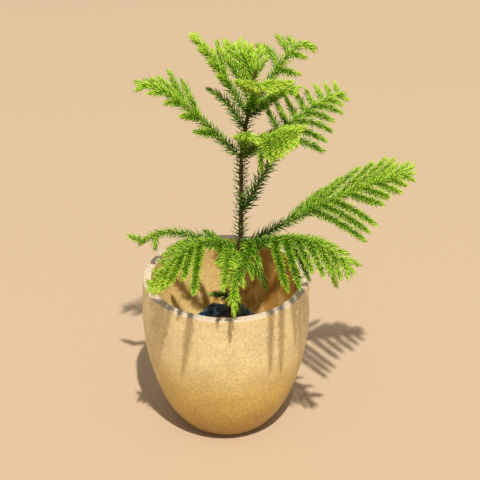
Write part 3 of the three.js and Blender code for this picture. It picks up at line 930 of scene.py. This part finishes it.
shoots = {
    "rootAgeAndShade": 0.32,       # how much darker needles are beside the stem than at a frond's tip: older needles, and painted shade inside the plant
    "skinAge": 0.2,        # how much older a shoot's skin looks than its needles
    "handles": (0.33, 0.7),    # where a spine's two middle handles stand on its way
    "sprigHandle": 0.45,
    "sprigLengths": (0.9, 1.1),
    "steps": 30,
}
forms = {
    "spine": {"sides": 8, "root": 0.0017, "tip": 0.0007, "cut": 0.004, "bare": 0.05, "crown": 0.022,
              "angle": 58, "tipAngle": 18, "length": 0.0120, "tipLength": 0.68, "width": 0.0017,
              "spacing": 0.00048, "skinFresh": 0.1, "tipFresh": 0.06, "needleShadeAndGlint": 0.44},
    "sprig": {"sides": 6, "root": 0.0009, "tip": 0.0005, "cut": 0.004, "bare": 0.02, "crown": 0.016,
              "angle": 54, "tipAngle": 18, "length": 0.0099, "tipLength": 0.84, "width": 0.0016,
              "spacing": 0.00041, "skinFresh": 0.1, "tipFresh": 0.14, "needleShadeAndGlint": 0.46},
    "solo": {"sides": 8, "root": 0.0017, "tip": 0.0008, "cut": 0.004, "bare": 0.05, "crown": 0.018,
             "angle": 64, "tipAngle": 20, "length": 0.0140, "tipLength": 0.8, "width": 0.0019,
             "spacing": 0.00064, "skinFresh": 0.1, "tipFresh": 0.10, "needleShadeAndGlint": 0.20},
}
clearing = {
    "pot": 3 * mm,
    "sprig": 5.2 * mm,
    "shortenings": (1, 0.8, 0.6, 0.4),
    "bends": (0, -0.3, 0.3, -0.6, 0.6, -0.9, 0.9, -1.3, 1.3),  # tried in turn at each length
    "spinePlaces": (48, 6),    # how many are compared, and how many at the root aren't
    "sprigPlaces": (12, 2),
}


def scatter(k):
    # the same small random number for the same k, between 0 and 1
    value = math.sin(k * 12.9898 + 78.233) * 43758.5453
    return value - math.floor(value)


def spineOf(frond):
    root = onStem(frond["at"] * mm)
    azimuth = math.radians(frond["azimuth"])
    out = Vector((math.cos(azimuth), math.sin(azimuth), 0))
    side = Vector((-out.y, out.x, 0))
    handles = [root]
    for share, sideways, lift in zip(shoots["handles"], frond.get("sway", (0, 0)), frond["lift"]):
        move = out * frond["reach"] * share + side * sideways + up * (frond["rise"] * share + lift)
        handles.append(root + mm * move)
    return [*handles, root + mm * (out * frond["reach"] + up * frond["rise"])]


def sprigLine(spine, row, k, chance, bend, short):
    side, count, start, end, first, last, angle, tilt, droop, curl = row
    share = k / max(count - 1, 1)
    u = mix(start, end, share)
    root = bezier(spine, u)
    along = heading(spine, u)
    across = along.cross(up).normalized()
    above = across.cross(along)
    length = mm * mix(first, last, share) * mix(*shoots["sprigLengths"], chance) * short
    angle, tilt = math.radians(angle), math.radians(tilt)
    level = across * side * math.cos(tilt) + above * math.sin(tilt)
    out = level * math.sin(angle) + along * math.cos(angle)
    towards = (out + along * curl - up * (droop + bend)).normalized()
    return [root, root + out * shoots["sprigHandle"] * length, root + towards * length]


def clearOfPot(point):
    room = clearing["pot"]
    radius, height = pot["outline"][-1]
    widest = max(width for width, _ in pot["outline"])
    distance = point.xy.length
    if point.z > height + room:
        return True
    return distance < radius - pot["wall"] - room or distance > widest + room


def clearSprig(spine, row, k, chance, others):
    # its handles and places, bent up, down or shortened until it is clear of the pot and other fronds
    steps, first = clearing["sprigPlaces"]
    for short in clearing["shortenings"]:
        for bend in clearing["bends"]:
            handles = sprigLine(spine, row, k, chance, bend, short)
            places = bezierPlaces(handles, steps)
            gaps = np.linalg.norm(others[None] - np.array(places[first:])[:, None], axis=2)
            if all(clearOfPot(place) for place in places[first:]) and gaps.min() > clearing["sprig"]:
                return handles, places
    return None


def layOutShoots():
    # for each frond its shoots: kind, how far along the frond it starts, and handles
    steps, first = clearing["spinePlaces"]
    spines = {name: spineOf(frond) for name, frond in fronds.items()}
    occupied = {name: bezierPlaces(spine, steps)[first:] for name, spine in spines.items()}
    layout = {name: [("spine", 0, spine)] for name, spine in spines.items()}
    for i, (name, frond) in enumerate(fronds.items()):
        others = np.array([place for other, places in occupied.items() if other != name
                           for place in places])
        number = (i + 1) * 50
        for row in frond["rows"]:
            for k in range(row[1]):
                found = clearSprig(spines[name], row, k, scatter(number), others)
                number += 1
                if found:
                    root = mix(row[2], row[3], k / max(row[1] - 1, 1))
                    layout[name].append(("sprig", root, found[0]))
                    occupied[name] += found[1]
    return layout


def makeFrond(name, lines, number):
    chance = random.Random(number)
    frondFresh = fronds[name]["fresh"]
    whole = bmesh.new()
    shades = []
    for kind, root, handles in lines:
        line = layLine(bezierPlaces(handles, shoots["steps"]))
        form = {**forms[name if name in forms else kind], "fresh": frondFresh}
        form["skinFresh"] += frondFresh - shoots["skinAge"]
        # shoots rooted nearer the stem are darker: older needles, and painted shade inside the plant
        if kind == "spine":
            form["tipFresh"] += shoots["rootAgeAndShade"]
        form["fresh"] -= shoots["rootAgeAndShade"] * (1 - root)
        mesh, fresh, tone = makePlume(line["lengths"][-1], form, chance)
        bendAlong(mesh, line)
        whole.from_mesh(mesh)
        bpy.data.meshes.remove(mesh)
        shades.append((fresh, tone))
    mesh = finishMesh(whole, name + "_needles")
    addShades(mesh, [fresh for fresh, _ in shades], [tone for _, tone in shades])
    piece = addPiece(name + "_needles", mesh, [skinMaterial, needleMaterial])
    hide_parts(name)
    return sum(len(face.vertices) - 2 for face in mesh.polygons)


triangles = [makeFrond(name, lines, number) for number, (name, lines) in enumerate(layOutShoots().items())]
print("fronds made,", sum(triangles), "triangles, at most", max(triangles), "in one")


# Floor and lights

studio = {
    "floor": (0.572, 0.423, 0.277),
    "floorSize": 6,
    "floorRoughness": 0.9,
    "aim": (0.02, 0, 0.26),
    "towardsKey": (0.10, -0.53, 1),
    "keyDistance": 20.0,
    "keySize": 0.42,
    "keyPower": 4700,
    "keyColour": (1.0, 0.965, 0.90),
    "sky": (1.0, 0.97, 0.90),
    "skyStrength": 0.39,
}


def makeFloor():
    bm = bmesh.new()
    bmesh.ops.create_grid(bm, x_segments=2, y_segments=2, size=studio["floorSize"])
    mesh = finishMesh(bm, "floor")
    material, _, shader = newMaterial("floor", studio["floorRoughness"])
    shader.inputs["Base Color"].default_value = (*studio["floor"], 1)
    mesh.materials.append(material)
    floor = bpy.data.objects.new("floor", mesh)
    bpy.context.scene.collection.objects.link(floor)


def makeKeyLight():
    data = bpy.data.lights.new("key", "AREA")
    data.shape = "DISK"
    data.size = studio["keySize"]
    data.energy = studio["keyPower"]
    data.color = studio["keyColour"]
    light = bpy.data.objects.new("key", data)
    towards = Vector(studio["towardsKey"]).normalized()
    light.location = Vector(studio["aim"]) + towards * studio["keyDistance"]
    light.rotation_euler = towards.to_track_quat("Z", "Y").to_euler()
    bpy.context.scene.collection.objects.link(light)


def makeSky():
    world = bpy.data.worlds.new("studio")
    world.use_nodes = True
    background = world.node_tree.nodes["Background"]
    background.inputs["Color"].default_value = (*studio["sky"], 1)
    background.inputs["Strength"].default_value = studio["skyStrength"]
    bpy.context.scene.world = world


makeFloor()
makeKeyLight()
makeSky()
bpy.context.scene.view_settings.view_transform = "Standard"
print("floor and lights placed")
